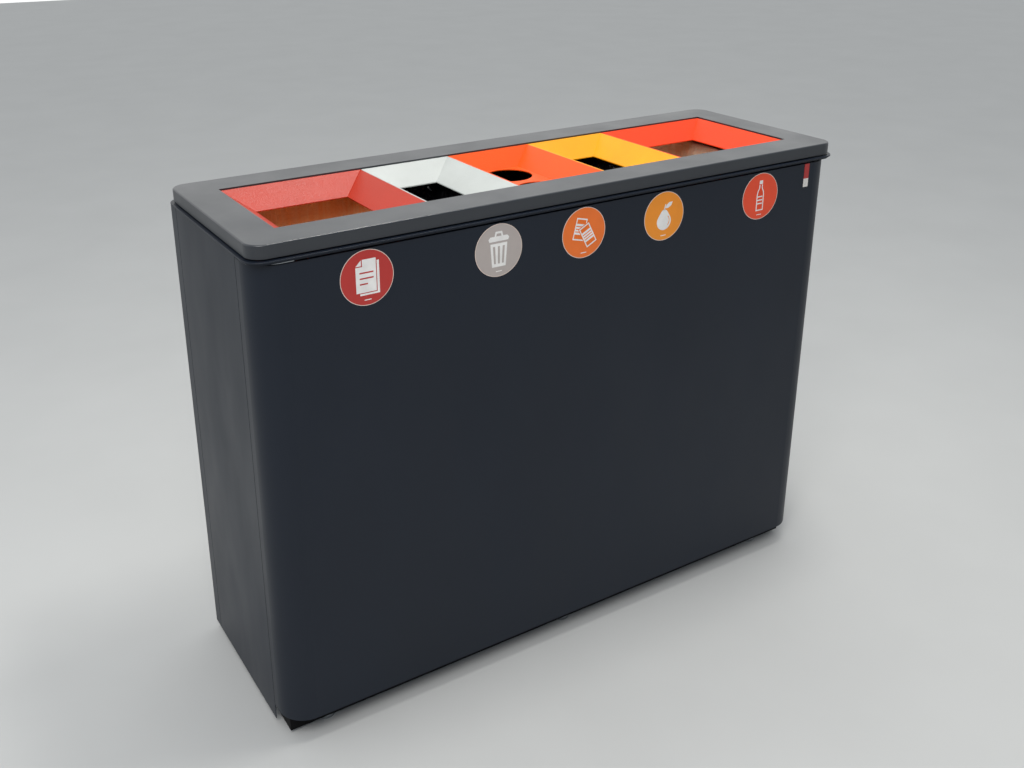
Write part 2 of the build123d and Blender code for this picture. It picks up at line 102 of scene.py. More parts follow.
def add_node(tree: bpy.types.NodeTree, kind: str, settings: dict[str, object] | None = None,
             links: dict[object, bpy.types.NodeSocket] | None = None) -> bpy.types.Node:
    """Add one shader node with its settings and links.

    Args:
        tree: the node tree it goes into.
        kind: the node's type name, without the leading "ShaderNode".
        settings: attribute names, or input names or numbers, with their values.
        links: input names or numbers, with the output sockets that feed them.

    Returns:
        The new node.
    """
    node = tree.nodes.new("ShaderNode" + kind)
    for key, value in (settings or {}).items():
        if isinstance(key, str) and hasattr(node, key):
            setattr(node, key, value)
        else:
            node.inputs[key].default_value = value
    for key, socket in (links or {}).items():
        tree.links.new(socket, node.inputs[key])
    return node


def ramp(tree: bpy.types.NodeTree, value: bpy.types.NodeSocket,
         stops: list[tuple[float, tuple[float, float, float, float]]]) -> bpy.types.NodeSocket:
    """Colour a value through a ramp.

    Args:
        tree: the node tree.
        value: the socket that drives the ramp.
        stops: place and linear colour of each stop, in order.

    Returns:
        The ramp's colour output.
    """
    node = add_node(tree, "ValToRGB", links={"Fac": value})
    band = node.color_ramp
    while len(band.elements) < len(stops):
        band.elements.new(0.5)
    for element, (place, colour) in zip(band.elements, stops):
        element.position = place
        element.color = colour
    return node.outputs["Color"]


# ---- finishes ------------------------------------------------------------------------------------
@dataclass(frozen=True)
class Finish:
    """A surface finish that makes one material.

    Attributes:
        name: the real material's name.
        colour: its main sRGB colour.
        roughness: its middle roughness.
    """

    name: str
    colour: str
    roughness: float

    def start(self) -> tuple[bpy.types.Material, bpy.types.NodeTree, bpy.types.Node, bpy.types.NodeSocket]:
        """Make the material with its shader and object coordinates.

        Returns:
            The material, its tree, its shader node and the coordinate output.
        """
        material = bpy.data.materials.new(self.name)
        material.use_nodes = True
        tree = material.node_tree
        tree.nodes.clear()
        shader = add_node(tree, "BsdfPrincipled", {"Base Color": linear(self.colour), "Roughness": self.roughness})
        add_node(tree, "OutputMaterial", links={"Surface": shader.outputs["BSDF"]})
        place = add_node(tree, "TexCoord").outputs["Object"]
        return material, tree, shader, place

    def vary(self, tree: bpy.types.NodeTree, place: bpy.types.NodeSocket, size_mm: float, low: float, high: float,
             stretch: tuple[float, float, float] = (1, 1, 1), detail: float = 3.0) -> bpy.types.NodeSocket:
        """A soft noise between two values.

        Args:
            tree: the node tree.
            place: coordinates in metres.
            size_mm: size of the noise's patches.
            low: the lowest value.
            high: the highest value.
            stretch: how the coordinates are scaled; below 1 draws the patches out along that axis.
            detail: octaves of the noise.

        Returns:
            The value's output socket.
        """
        turned = add_node(tree, "Mapping", {"Scale": stretch}, {"Vector": place})
        cloud = add_node(tree, "TexNoise", {"Scale": 1000 / size_mm, "Detail": detail, "Roughness": 0.55},
                         {"Vector": turned.outputs["Vector"]})
        spread = add_node(tree, "MapRange", {"From Min": 0.3, "From Max": 0.7, "To Min": low, "To Max": high},
                          {"Value": cloud.outputs["Fac"]})
        return spread.outputs["Result"]

    def relief(self, tree: bpy.types.NodeTree, height: bpy.types.NodeSocket, depth_mm: float, strength: float,
               under: bpy.types.NodeSocket | None = None) -> bpy.types.NodeSocket:
        """Turn a height into a bumped normal.

        Args:
            tree: the node tree.
            height: the height's socket.
            depth_mm: how deep a height of 1 is.
            strength: how much of the bump is used.
            under: a bump that this one lies on.

        Returns:
            The normal's output socket.
        """
        links = {"Height": height}
        if under is not None:
            links["Normal"] = under
        return add_node(tree, "Bump", {"Distance": depth_mm * MM, "Strength": strength}, links).outputs["Normal"]

    def material(self) -> bpy.types.Material:
        """The plain material; each kind of finish adds its own detail."""
        return self.start()[0]


@dataclass(frozen=True)
class Chip:
    """A spot where the coat is knocked off: its centre in metres and its width in millimetres."""

    place: tuple[float, float, float]
    width_mm: float


@dataclass(frozen=True)
class CasingCoat(Finish):
    """Satin polyester powder coat on steel sheet.

    The baked powder flows into a faint orange peel, so lamps draw out softly on it; hands and cloths
    leave broad patches that are a little glossier, and knocked corners show pale primer.
    """

    peel_mm: float = 5.0
    peel_strength: float = 0.10
    wipe: float = 0.05
    chips: tuple[Chip, ...] = ()
    shine: float = 0.5

    def material(self) -> bpy.types.Material:
        """Build the coat with its peel, wiped patches, dust and chips."""
        material, tree, shader, place = self.start()
        shader.inputs["Specular IOR Level"].default_value = self.shine
        tone = self.vary(tree, place, 260, 0.0, 1.0, (1, 1, 0.5))
        colour = ramp(tree, tone, [(0.0, shade(self.colour, 0.93)), (1.0, shade(self.colour, 1.08))])
        rough = self.vary(tree, place, 130, self.roughness - self.wipe, self.roughness + self.wipe, (1, 1, 0.4))
        # real peel is 2 to 3 mm across; it is drawn a little coarser so that it still shows
        peel = self.vary(tree, place, self.peel_mm, 0.0, 1.0, detail=1.5)
        grain = self.vary(tree, place, 1.6, 0.0, 1.0, detail=1.0)
        normal = self.relief(tree, grain, 0.03, 0.25)
        normal = self.relief(tree, peel, 0.12, self.peel_strength, normal)
        for chip in self.chips:
            worn = self.chip_mask(tree, place, chip)
            colour = add_node(tree, "Mix", {"data_type": "RGBA", 7: linear("#a9a59e")},
                              {0: worn, 6: colour}).outputs[2]
            normal = self.relief(tree, worn, -0.15, 0.8, normal)
        tree.links.new(colour, shader.inputs["Base Color"])
        tree.links.new(rough, shader.inputs["Roughness"])
        tree.links.new(normal, shader.inputs["Normal"])
        return material

    def chip_mask(self, tree: bpy.types.NodeTree, place: bpy.types.NodeSocket, chip: Chip) -> bpy.types.NodeSocket:
        """A ragged spot, 1 on the bare steel and 0 on the coat.

        Args:
            tree: the node tree.
            place: coordinates in metres.
            chip: the spot's place and width.

        Returns:
            The mask's output socket.
        """
        ragged = add_node(tree, "TexNoise", {"Scale": 700.0, "Detail": 2.0}, {"Vector": place})
        shift = add_node(tree, "VectorMath", {"operation": "SCALE", "Scale": chip.width_mm * 0.7 * MM},
                         {0: ragged.outputs["Color"]})
        moved = add_node(tree, "VectorMath", {"operation": "ADD"}, {0: place, 1: shift.outputs[0]})
        offset = chip.width_mm * 0.35 * MM
        centre = tuple(value + offset for value in chip.place)
        far = add_node(tree, "VectorMath", {"operation": "DISTANCE", 1: centre}, {0: moved.outputs[0]})
        inner, outer = chip.width_mm * 0.42 * MM, chip.width_mm * 0.55 * MM
        edge = add_node(tree, "MapRange", {"From Min": inner, "From Max": outer, "To Min": 1.0, "To Max": 0.0},
                        {"Value": far.outputs["Value"]})
        return edge.outputs["Result"]


@dataclass(frozen=True)
class TexturedCoat(Finish):
    """Fine-textured powder coat: the powder is baked into tiny beads, so a lamp breaks up into grain."""

    bead_mm: float = 2.6
    bead_strength: float = 0.5
    shine: float = 0.4

    def material(self) -> bpy.types.Material:
        """Build the coat with its beads and slight soiling."""
        material, tree, shader, place = self.start()
        shader.inputs["Specular IOR Level"].default_value = self.shine
        soil = self.vary(tree, place, 70, 0.0, 1.0)
        colour = ramp(tree, soil, [(0.0, shade(self.colour, 0.94)), (1.0, shade(self.colour, 1.03))])
        # real beads are under 1 mm; they are drawn at two to three times that so that they show
        beads = self.vary(tree, place, self.bead_mm, 0.0, 1.0, detail=2.0)
        rough = add_node(tree, "MapRange", {"To Min": self.roughness + 0.06, "To Max": self.roughness - 0.05},
                         {"Value": beads})
        tree.links.new(colour, shader.inputs["Base Color"])
        tree.links.new(rough.outputs["Result"], shader.inputs["Roughness"])
        tree.links.new(self.relief(tree, beads, 0.35, self.bead_strength), shader.inputs["Normal"])
        return material


@dataclass(frozen=True)
class PlatedSteel(Finish):
    """Zinc-plated or drawn steel: grey metal with cloudy patches and fine marks from the mill."""

    patch_mm: float = 14.0
    draw: tuple[float, float, float] = (1, 1, 0.15)

    def material(self) -> bpy.types.Material:
        """Build the metal with its patches and draw marks."""
        material, tree, shader, place = self.start()
        shader.inputs["Metallic"].default_value = 1.0
        patch = self.vary(tree, place, self.patch_mm, 0.0, 1.0)
        colour = ramp(tree, patch, [(0.0, shade(self.colour, 0.82)), (1.0, shade(self.colour, 1.1))])
        marks = self.vary(tree, place, 3.0, 0.0, 1.0, self.draw)
        rough = add_node(tree, "MapRange", {"To Min": self.roughness - 0.07, "To Max": self.roughness + 0.1},
                         {"Value": patch})
        tree.links.new(colour, shader.inputs["Base Color"])
        tree.links.new(rough.outputs["Result"], shader.inputs["Roughness"])
        tree.links.new(self.relief(tree, marks, 0.05, 0.2), shader.inputs["Normal"])
        return material


@dataclass(frozen=True)
class MouldedPart(Finish):
    """Moulded nylon, magnet case or rubber: an even colour with the mould's fine spark grain."""

    grain_mm: float = 1.2
    grain_strength: float = 0.3

    def material(self) -> bpy.types.Material:
        """Build the moulded surface with its grain."""
        material, tree, shader, place = self.start()
        tone = self.vary(tree, place, 20, 0.0, 1.0)
        colour = ramp(tree, tone, [(0.0, shade(self.colour, 0.92)), (1.0, shade(self.colour, 1.06))])
        grain = self.vary(tree, place, self.grain_mm, 0.0, 1.0, detail=1.0)
        tree.links.new(colour, shader.inputs["Base Color"])
        tree.links.new(self.relief(tree, grain, 0.08, self.grain_strength), shader.inputs["Normal"])
        return material


@dataclass(frozen=True)
class DiscVinyl(Finish):
    """Laminated vinyl print: a saturated disc under a clear film, with a thin pale cut edge."""

    centre: tuple[float, float, float] = (0.0, 0.0, 0.0)
    radius_mm: float = 50.0
    edge_mm: float = 1.1

    def material(self) -> bpy.types.Material:
        """Build the print with its pale edge."""
        material, tree, shader, place = self.start()
        shader.inputs["Coat Weight"].default_value = 0.35
        shader.inputs["Coat Roughness"].default_value = 0.12
        flat = add_node(tree, "VectorMath", {"operation": "MULTIPLY", 1: (1, 0, 1)}, {0: place})
        centre = (self.centre[0], 0.0, self.centre[2])
        far = add_node(tree, "VectorMath", {"operation": "DISTANCE", 1: centre}, {0: flat.outputs[0]})
        start = (self.radius_mm - self.edge_mm) * MM
        rim = add_node(tree, "MapRange", {"From Min": start - 0.0002, "From Max": start + 0.0002},
                       {"Value": far.outputs["Value"]})
        tone = self.vary(tree, place, 30, 0.0, 1.0)
        colour = ramp(tree, tone, [(0.0, shade(self.colour, 0.97)), (1.0, shade(self.colour, 1.03))])
        edged = add_node(tree, "Mix", {"data_type": "RGBA", 7: linear("#dcc9bd")},
                         {0: rim.outputs["Result"], 6: colour})
        tree.links.new(edged.outputs[2], shader.inputs["Base Color"])
        ripple = self.vary(tree, place, 9, 0.0, 1.0, detail=1.0)
        tree.links.new(self.relief(tree, ripple, 0.05, 0.15), shader.inputs["Normal"])
        return material


@dataclass(frozen=True)
class TagVinyl(Finish):
    """A two-tone vinyl strip, its lower end pale."""

    split: float = 0.0
    lower: str = "#d9d5d0"

    def material(self) -> bpy.types.Material:
        """Build the strip with its two tones."""
        material, tree, shader, place = self.start()
        shader.inputs["Coat Weight"].default_value = 0.3
        shader.inputs["Coat Roughness"].default_value = 0.15
        level = add_node(tree, "SeparateXYZ", links={"Vector": place}).outputs["Z"]
        side = add_node(tree, "MapRange", {"From Min": self.split - 0.0002, "From Max": self.split + 0.0002},
                        {"Value": level})
        colour = ramp(tree, side.outputs["Result"], [(0.0, linear(self.lower)), (1.0, linear(self.colour))])
        tree.links.new(colour, shader.inputs["Base Color"])
        return material


@dataclass(frozen=True)
class LinerFilm(Finish):
    """Blown polyethylene film: thin, glossy and creased, streaked along its length by the die."""

    dark: str = "#101010"
    crease_strength: float = 0.5
    crease_mm: float = 1.4
    creases_per_metre: float = 95.0

    def material(self) -> bpy.types.Material:
        """Build the film with its streaks and fine creases."""
        material, tree, shader, place = self.start()
        shader.inputs["IOR"].default_value = 1.51
        streak = self.vary(tree, place, 9, 0.0, 1.0, (1, 1, 0.03), 4.0)
        cloud = self.vary(tree, place, 90, 0.0, 1.0, (1, 1, 0.6))
        both = add_node(tree, "Math", {"operation": "MULTIPLY_ADD", 1: 0.65},
                        {0: streak, 2: self.thirded(tree, cloud)})
        colour = ramp(tree, both.outputs[0], [(0.15, linear(self.dark)), (0.85, linear(self.colour))])
        crease = add_node(tree, "TexVoronoi", {"feature": "DISTANCE_TO_EDGE", "Scale": self.creases_per_metre},
                          {"Vector": place})
        crumple = add_node(tree, "MapRange", {"From Max": 0.22}, {"Value": crease.outputs["Distance"]})
        tree.links.new(colour, shader.inputs["Base Color"])
        normal = self.relief(tree, crumple.outputs["Result"], self.crease_mm, self.crease_strength)
        tree.links.new(self.relief(tree, streak, 0.3, 0.4, normal), shader.inputs["Normal"])
        return material

    def thirded(self, tree: bpy.types.NodeTree, value: bpy.types.NodeSocket) -> bpy.types.NodeSocket:
        """A third of a value, to add a cloud to the streaks."""
        return add_node(tree, "Math", {"operation": "MULTIPLY", 1: 0.35}, {0: value}).outputs[0]


@dataclass(frozen=True)
class StageFloor(Finish):
    """Plain pale screed with a very faint mottle."""

    def material(self) -> bpy.types.Material:
        """Build the floor's surface."""
        material, tree, shader, place = self.start()
        tone = self.vary(tree, place, 400, 0.0, 1.0)
        colour = ramp(tree, tone, [(0.0, shade(self.colour, 0.98)), (1.0, shade(self.colour, 1.02))])
        tree.links.new(colour, shader.inputs["Base Color"])
        return material


# ---- shared mesh helpers -------------------------------------------------------------------------
def keep_mesh(name: str, mesh: bmesh.types.BMesh, material: bpy.types.Material, smooth: bool) -> bpy.types.Object:
    """Turn a bmesh into an object at the origin.

    Args:
        name: the piece's name.
        mesh: the finished bmesh, which is freed.
        material: its material.
        smooth: whether its faces are smooth shaded.

    Returns:
        The new object.
    """
    data = bpy.data.meshes.new(name)
    mesh.to_mesh(data)
    mesh.free()
    for polygon in data.polygons:
        polygon.use_smooth = smooth
    data.materials.append(material)
    piece = bpy.data.objects.new(name, data)
    bpy.context.scene.collection.objects.link(piece)
    return piece


def dress(material: bpy.types.Material, *nodes: str) -> None:
    """Give CAD nodes a material.

    Args:
        material: the finish they take.
        nodes: names of the CAD nodes.
    """
    for name in nodes:
        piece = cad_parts[name]
        if not piece.material_slots:
            piece.data.materials.append(material)
        for slot in piece.material_slots:
            slot.material = material
        log.info("dressed %s in %s", name, material.name)


# ---- the cabinet, door and lid -------------------------------------------------------------------
@dataclass
class Cabinet:
    """The fixed casing with its base, posts, rails and hoops."""

    # Same anthracite paint as the lid, set as a darker, bluer copy: painted shade on the shaded front and sides.
    coat: CasingCoat = field(default_factory=lambda: CasingCoat(
        "polyester powder coat, anthracite", "#171e29", 0.42, shine=0.28))
    # The plinth and base tray are black, but this coat is set darker than black paint, as painted shade under the
    # door.
    base_coat_with_painted_shade: CasingCoat = field(default_factory=lambda: CasingCoat(
        "powder coat, black, darkened as painted shade", "#070708", 0.7, shine=0.15))
    plating: PlatedSteel = field(default_factory=lambda: PlatedSteel("zinc-plated steel", "#a3a7aa", 0.36))
    rod: PlatedSteel = field(default_factory=lambda: PlatedSteel(
        "drawn stainless rod", "#c2c2c0", 0.22, patch_mm=30.0, draw=(1, 1, 1)))
    nylon: MouldedPart = field(default_factory=lambda: MouldedPart("natural nylon", "#ddd9cc", 0.45))
    case: MouldedPart = field(default_factory=lambda: MouldedPart("ferrite magnet in ABS case", "#191919", 0.5))
    rubber: MouldedPart = field(default_factory=lambda: MouldedPart(
        "EPDM rubber", "#141414", 0.75, grain_strength=0.5))

    def dress(self) -> None:
        """Give every fixed CAD node its finish."""
        dress(self.coat.material(), "back_panel", "left_side_panel", "right_side_panel", "top_collar",
              "collar_hinge_leaves")
        dress(self.base_coat_with_painted_shade.material(), "plinth", "base_tray")
        dress(self.plating.material(), "corner_posts", "post_packers", "collar_screws", "foot_nuts",
              "pivot_plate", "front_rail", "rear_rail", "levelling_feet")
        dress(self.rod.material(), "top_pivot_pin", "bottom_pivot_pin", "lid_hinge_pins",
              *[f"hoop_{stream.value}" for stream in Stream])
        dress(self.nylon.material(), "thrust_washer")
        dress(self.case.material(), "magnet_catches")
        dress(self.rubber.material(), "lid_buffers")


@dataclass
class Door:
    """The front shell with its stiffeners, bushes and strikes."""

    # Same anthracite paint as the lid, set as a darker, bluer copy: painted shade on the shaded front.
    coat: CasingCoat = field(default_factory=lambda: CasingCoat(
        "polyester powder coat, anthracite, door", "#171e29", 0.42, shine=0.28,
        chips=(Chip((-0.6555, -0.171, 0.278), 5.0), Chip((-0.6555, -0.171, 0.788), 4.0),
               Chip((-0.626, -0.2045, 0.063), 5.0))))
    plating: PlatedSteel = field(default_factory=lambda: PlatedSteel("zinc-plated steel, door", "#a3a7aa", 0.36))
    nylon: MouldedPart = field(default_factory=lambda: MouldedPart("natural nylon, bush", "#ddd9cc", 0.45))
    tag: TagVinyl = field(default_factory=lambda: TagVinyl("vinyl strip, red", "#a8201c", 0.4, split=0.930))

    def dress(self) -> None:
        """Give every CAD node of the door its finish."""
        dress(self.coat.material(), "door_skin")
        dress(self.plating.material(), "door_stiffeners", "strike_angles")
        dress(self.nylon.material(), "pivot_bushes")
        dress(self.tag.material(), "door_tag")


@dataclass
class Lid:
    """The top frame with its five chutes."""

    # Same anthracite paint as cabinet and door, set as a lighter copy: painted light on the lit top.
    coat: CasingCoat = field(default_factory=lambda: CasingCoat(
        "polyester powder coat, anthracite, lid", "#25292f", 0.34, shine=0.75))
    rivet: PlatedSteel = field(default_factory=lambda: PlatedSteel("aluminium blind rivet", "#b9bbbc", 0.3))
    chute_colours: dict[Stream, str] = field(default_factory=lambda: {
        Stream.PAPER: "#b52f16", Stream.RESIDUAL: "#bcc0bd", Stream.CUPS: "#ea560c",
        Stream.ORGANIC: "#f0a200", Stream.PLASTIC: "#ea3e04"})

    def dress(self) -> None:
        """Give every CAD node of the lid its finish."""
        dress(self.coat.material(), "lid_frame", "lid_hinge_leaves")
        dress(self.rivet.material(), "chute_rivets")
        for stream, colour in self.chute_colours.items():
            coat = TexturedCoat(f"fine-textured powder coat, {stream.value}", colour, 0.42)
            dress(coat.material(), f"chute_{stream.value}")


# ---- liner bags ----------------------------------------------------------------------------------
@dataclass
class LinerBag:
    """A film liner: folded over its hoop, creased down the walls and slumped at the bottom.

    Attributes:
        stream: which stream it serves.
        film: its film.
        crumple_mm: depth of the creases.
        pleat_mm: depth of the long upright folds.
        seed: start of its noise.
    """

    stream: Stream
    film: LinerFilm
    crumple_mm: float
    pleat_mm: float
    seed: float
    around: int = 200
    corner: float = 0.020
    rod: float = 0.008
    film_gap: float = 0.0006
    film_thickness: float = 0.0003
    row: float = 0.0095
    grip: float = 0.10

    @property
    def node(self) -> str:
        """Name of the CAD solid that it stands for."""
        return f"bag_{self.stream.value}"

    def outline(self, turn: float, half_x: float, half_y: float) -> tuple[Vector, Vector]:
        """A point on the bag's rounded plan and the way out of it there.

        Args:
            turn: how far round, from 0 to 1.
            half_x: half its length.
            half_y: half its depth.

        Returns:
            The point and the outward direction, in plan.
        """
        radius = self.corner
        runs = (2 * (half_x - radius), 2 * (half_y - radius)) * 2
        bend = math.pi * radius / 2
        walk = (turn % 1.0) * (sum(runs) + 4 * bend)
        for side, run in enumerate(runs):
            turned = Matrix.Rotation(side * math.pi / 2, 3, "Z")
            forward, outward = turned @ Vector((1, 0, 0)), turned @ Vector((0, -1, 0))
            far = half_y if side % 2 == 0 else half_x
            start = outward * far - forward * (run / 2)
            if walk <= run:
                return start + forward * walk, outward
            walk -= run
            if walk <= bend:
                way = outward * math.cos(walk / radius) + forward * math.sin(walk / radius)
                return start + forward * run - outward * radius + way * radius, way
            walk -= bend
        return start + forward * run, outward

    def profile(self, low: float, rim: float) -> list[tuple[float, float, float]]:
        """The bag's section from the middle of its bottom up to its folded-over edge.

        Args:
            low: level of the bottom.
            rim: level of the film on top of the rod.

        Returns:
            For each ring: the share of the plan that it takes, how far it stands out, and its level.
        """
        rings = [(0.92 * step / 12, -0.004, low + 0.003 + 0.015 * (step / 12) ** 3) for step in range(13)]
        rings += [(0.965, -0.003, low + 0.026), (0.99, -0.002, low + 0.040), (1.0, -0.001, low + 0.054)]
        level, top = low + 0.064, rim - self.rod / 2
        while level < top - 0.003:
            rings.append((1.0, 0.0, level))
            level += self.row
        reach = self.rod / 2 + self.film_gap
        for step in range(11):
            angle = math.pi * step / 10
            rings.append((1.0, reach - reach * math.cos(angle), top + self.rod / 2 * math.sin(angle)))
        return rings + [(1.0, 2 * reach, top - 0.0025)]

    def crease(self, place: Vector) -> float:
        """How far slack film is pushed inwards at a place on its smooth wall.

        Args:
            place: the place, from the bag's middle.

        Returns:
            The push, in metres.
        """
        shift = Vector((self.seed * 3.1, self.seed * 1.7, self.seed))
        fold = 1 - 2.4 * abs(noise.noise(Vector((place.x * 20, place.y * 20, place.z * 2.2)) + shift))
        push = max(0.0, fold) ** 2 * self.pleat_mm
        for scale, depth in ((1.0, 1.0), (2.3, 0.36), (5.0, 0.12)):
            spot = Vector((place.x * 24 * scale, place.y * 24 * scale, place.z * 15 * scale)) + shift
            near, following = noise.voronoi(spot)[0][:2]
            push += min(1.0, (following - near) * 1.6) * self.crumple_mm * depth
        return push * MM

    def build(self) -> bpy.types.Object:
        """Roll a grid into the bag, crease it, give it thickness and put it in its CAD solid's place.

        Returns:
            The finished bag.
        """
        low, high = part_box(self.node)
        middle = Vector(((low.x + high.x) / 2, (low.y + high.y) / 2, 0))
        inward = self.rod + 2 * self.film_gap
        half_x, half_y = (high.x - low.x) / 2 - inward, (high.y - low.y) / 2 - inward
        rings = self.profile(low.z, high.z - self.film_thickness)
        mesh = bmesh.new()
        bmesh.ops.create_grid(mesh, x_segments=self.around, y_segments=len(rings) - 1, size=0.5)
        for vert in mesh.verts:
            share, out, level = rings[round((vert.co.y + 0.5) * (len(rings) - 1))]
            point, outward = self.outline(vert.co.x + 0.5, half_x, half_y)
            slack = min(1.0, max(0.0, (high.z - 0.012 - level) / self.grip))
            push = self.crease(Vector((point.x * share, point.y * share, level))) * slack
            vert.co = middle + Vector((point.x * share, point.y * share, level))
            vert.co += outward * (out * min(1.0, 3 * share) - push * share)
            if share < 0.95:
                vert.co.z += push
        bmesh.ops.remove_doubles(mesh, verts=mesh.verts, dist=0.00002)
        bmesh.ops.recalc_face_normals(mesh, faces=mesh.faces)
        piece = keep_mesh(f"liner_{self.stream.value}", mesh, self.film.material(), True)
        wall = piece.modifiers.new("film", "SOLIDIFY")
        wall.thickness = self.film_thickness
        wall.offset = -1.0
        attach(piece, Body.CABINET.value)
        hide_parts(self.node)
        log.info("built %s with %d faces", piece.name, len(piece.data.polygons))
        return piece


# ---- printed discs -------------------------------------------------------------------------------
@dataclass
class Pen:
    """Draws flat shapes on one disc, in millimetres to the right of and above its middle.

    Attributes:
        centre: the disc's middle in metres; its y is the disc's face.
    """

    centre: Vector
    tilt: float = 0.0
    about: tuple[float, float] = (0.0, 0.0)
    mesh: bmesh.types.BMesh = field(default_factory=bmesh.new)

    def spot(self, right: float, up: float) -> Vector:
        """A place on the disc's face, turned with the pen's tilt."""
        swing = Matrix.Rotation(math.radians(self.tilt), 2)
        turned = swing @ Vector((right, up))
        return self.centre + Vector((turned.x + self.about[0], 0, turned.y + self.about[1])) * MM

    def fill(self, outline: list[tuple[float, float]], layer: float) -> None:
        """Lay down a filled outline as a thin raised print.

        Args:
            outline: its corners in order.
            layer: the print's height in millimetres.
        """
        verts = [self.mesh.verts.new(self.spot(*corner)) for corner in outline]
        face = self.mesh.faces.new(verts)
        raised = bmesh.ops.extrude_face_region(self.mesh, geom=[face])["geom"]
        lift = [item for item in raised if isinstance(item, bmesh.types.BMVert)]
        bmesh.ops.translate(self.mesh, verts=lift, vec=(0, -layer * MM, 0))

    def bar(self, right: float, up: float, width: float, tall: float, layer: float) -> None:
        """A filled rectangle from its lower left corner."""
        self.fill([(right, up), (right + width, up), (right + width, up + tall), (right, up + tall)], layer)

    def blob(self, right: float, up: float, radius: Callable[[float], float], layer: float, steps: int = 40) -> None:
        """A filled closed curve round a middle.

        Args:
            right: its middle.
            up: its middle.
            radius: the reach at an angle in radians.
            layer: the print's height in millimetres.
            steps: corners of the curve.
        """
        turns = [math.tau * step / steps for step in range(steps)]
        self.fill([(right + radius(turn) * math.cos(turn), up + radius(turn) * math.sin(turn)) for turn in turns],
                  layer)

    def finish(self, name: str, material: bpy.types.Material, slot: str = "") -> None:
        """Close the drawing and fix it on the door; its slot argument is not used."""
        bmesh.ops.recalc_face_normals(self.mesh, faces=self.mesh.faces)
        piece = keep_mesh(name, self.mesh, material, False)
        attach(piece, Body.DOOR.value)
        log.info("printed %s", name)


